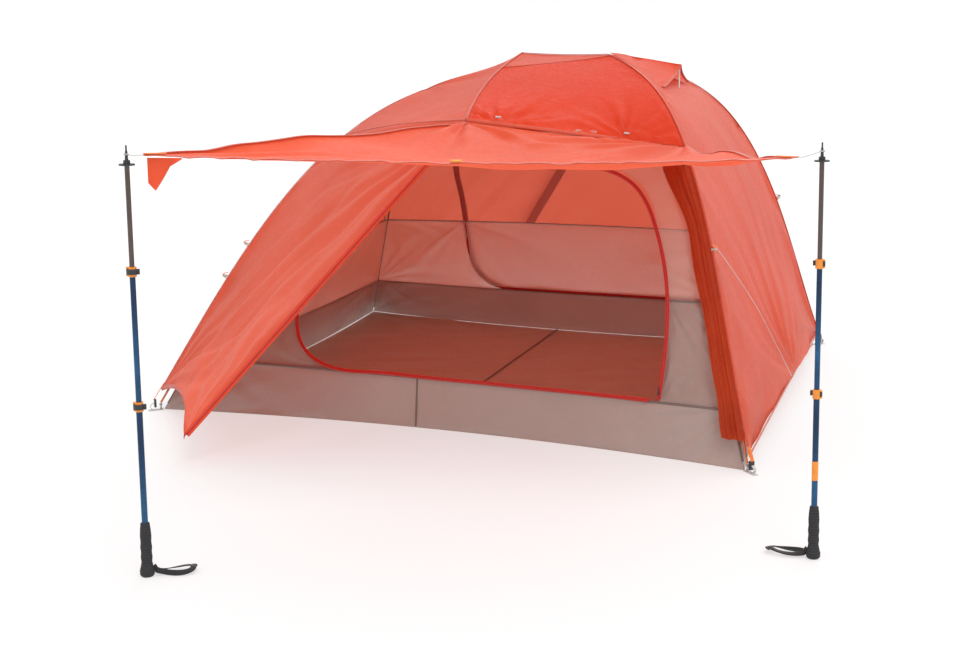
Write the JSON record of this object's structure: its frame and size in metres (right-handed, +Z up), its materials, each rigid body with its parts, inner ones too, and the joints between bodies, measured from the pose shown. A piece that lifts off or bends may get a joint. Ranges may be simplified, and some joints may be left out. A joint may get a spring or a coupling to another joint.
{
  "type": "dome tent with awning on trekking poles",
  "caption": "Hubbed dome tent with mesh inner, roll-back doors and full fly; one vestibule door is pitched as an awning on telescoping poles.",
  "frame": {"origin": "middle of the floor's underside, on the ground", "axes": "+X along the sleeping length to the steep head end, +Y away from the awning, +Z up"},
  "size_m": [2.8251, 4.4028, 1.4739],
  "materials": {
    "coral_fly": "light sheen ripstop",
    "grey_tub": "matte coated nylon",
    "brown_floor": "satin coated nylon",
    "mesh": "sheer mesh",
    "red_zip": "coil zip",
    "slider_metal": "satin",
    "frame_tube": "anodised satin",
    "hub_plastic": "fine texture",
    "webbing": "woven webbing",
    "cord": "braided cord",
    "upper_tube": "satin anodised",
    "lower_tube": "satin anodised",
    "lock_orange": "satin",
    "black_plastic": "fine texture",
    "grip_foam": "closed-cell foam",
    "black_webbing": "woven webbing",
    "tip_metal": "brushed"
  },
  "bodies": {
    "root": {"inner_floor": "brown_floor", "tub_walls": "grey_tub", "near_wall": "mesh", "far_wall": "mesh", "far_door": "mesh", "near_door_rolled": "mesh", "foot_wall": "mesh", "head_wall": "mesh", "inner_roof": "mesh", "door_zips": "red_zip", "corner_pocket": "mesh", "fly_roof": "coral_fly", "fly_front": "coral_fly", "fly_rear": "coral_fly", "fly_foot_roof": "coral_fly", "near_vestibule_panel": "coral_fly", "far_vestibule_panel": "coral_fly", "fly_foot_end": "coral_fly", "fly_head_end": "coral_fly", "head_gather": "coral_fly", "vent_hood": "coral_fly", "vestibule_zips": "red_zip", "ridge_pole": "frame_tube", "cross_pole": "frame_tube", "leg_poles": "frame_tube", "foot_hub": "hub_plastic", "head_hub": "hub_plastic", "pole_tips": "tip_metal", "pole_clips": "hub_plastic", "corner_straps": "webbing", "corner_buckles": "hub_plastic", "tie_out_tabs": "webbing", "head_guyline": "cord", "pole_grips": "grip_foam", "upper_shafts": "upper_tube", "low_clamps": "lock_orange", "wrist_straps": "black_webbing"},
    "awning": {"awning": "coral_fly", "awning_corner_flap": "coral_fly", "awning_toggle": "lock_orange"},
    "far_vestibule_door": {"far_vestibule_door": "coral_fly"},
    "vent_strut": {"vent_strut": "webbing"},
    "near_door_slider": {"near_door_slider": "slider_metal"},
    "far_door_slider": {"far_door_slider": "slider_metal"},
    "near_vestibule_slider": {"near_vestibule_slider": "slider_metal"},
    "far_vestibule_slider": {"far_vestibule_slider": "slider_metal"},
    "left_middle": {"left_pole_middle_shaft": "upper_tube", "left_pole_high_clamp": "lock_orange"},
    "left_lower": {"left_pole_lower_shaft": "lower_tube", "left_pole_tip_and_basket": "black_plastic", "left_pole_awning_tie": "cord"},
    "left_low_lever": {"left_pole_low_lever": "lock_orange"},
    "left_high_lever": {"left_pole_high_lever": "lock_orange"},
    "right_middle": {"right_pole_middle_shaft": "upper_tube", "right_pole_high_clamp": "lock_orange"},
    "right_lower": {"right_pole_lower_shaft": "lower_tube", "right_pole_tip_and_basket": "black_plastic", "right_pole_awning_tie": "cord"},
    "right_low_lever": {"right_pole_low_lever": "lock_orange"},
    "right_high_lever": {"right_pole_high_lever": "lock_orange"}
  },
  "joints": [
    {"name": "awning_hinge", "type": "hinge", "parent": "root", "child": "awning", "pos_m": [0.11, -1.009, 1.218], "axis": [0.8783, 0.4598, -0.1312], "range_deg": [0, 55]},
    {"name": "far_door_hinge", "type": "hinge", "parent": "root", "child": "far_vestibule_door", "pos_m": [0.11, 1.009, 1.218], "axis": [0.8783, -0.4598, -0.1312], "range_deg": [0, 55]},
    {"name": "vent_strut_hinge", "type": "hinge", "parent": "root", "child": "vent_strut", "pos_m": [0.702, 0, 1.312], "axis": [0, 1, 0], "range_deg": [0, 115]},
    {"name": "near_door_slide", "type": "slide", "parent": "root", "child": "near_door_slider", "axis": [0, 0.2262, 0.9741], "range_m": [0, 0.24]},
    {"name": "far_door_slide", "type": "slide", "parent": "root", "child": "far_door_slider", "axis": [0, -0.2262, 0.9741], "range_m": [0, 0.24]},
    {"name": "near_vestibule_slide", "type": "slide", "parent": "root", "child": "near_vestibule_slider", "axis": [-0.5272, -0.4607, -0.714], "range_m": [0, 1.3]},
    {"name": "far_vestibule_slide", "type": "slide", "parent": "root", "child": "far_vestibule_slider", "axis": [0.5272, -0.4607, 0.714], "range_m": [0, 1.3]},
    {"name": "left_middle_slide", "type": "slide", "parent": "root", "child": "left_middle", "axis": [0, 0, 1], "range_m": [-0.25, 0]},
    {"name": "left_lower_slide", "type": "slide", "parent": "left_middle", "child": "left_lower", "axis": [0, 0, 1], "range_m": [-0.24, 0]},
    {"name": "left_low_lever_hinge", "type": "hinge", "parent": "root", "child": "left_low_lever", "pos_m": [-0.29269, -2.66462, 0.515], "axis": [0, 0, -1], "range_deg": [0, 120]},
    {"name": "left_high_lever_hinge", "type": "hinge", "parent": "left_middle", "child": "left_high_lever", "pos_m": [-0.29269, -2.66462, 0.905], "axis": [0, 0, -1], "range_deg": [0, 120]},
    {"name": "right_middle_slide", "type": "slide", "parent": "root", "child": "right_middle", "axis": [-0.0311, 0.0072, 0.9995], "range_m": [-0.25, 0]},
    {"name": "right_lower_slide", "type": "slide", "parent": "right_middle", "child": "right_lower", "axis": [-0.0311, 0.0072, 0.9995], "range_m": [-0.24, 0]},
    {"name": "right_low_lever_hinge", "type": "hinge", "parent": "root", "child": "right_low_lever", "pos_m": [1.53665, -1.86089, 0.51576], "axis": [0.0311, -0.0072, -0.9995], "range_deg": [0, 120]},
    {"name": "right_high_lever_hinge", "type": "hinge", "parent": "right_middle", "child": "right_high_lever", "pos_m": [1.52452, -1.85809, 0.90556], "axis": [0.0311, -0.0072, -0.9995], "range_deg": [0, 120]}
  ]
}
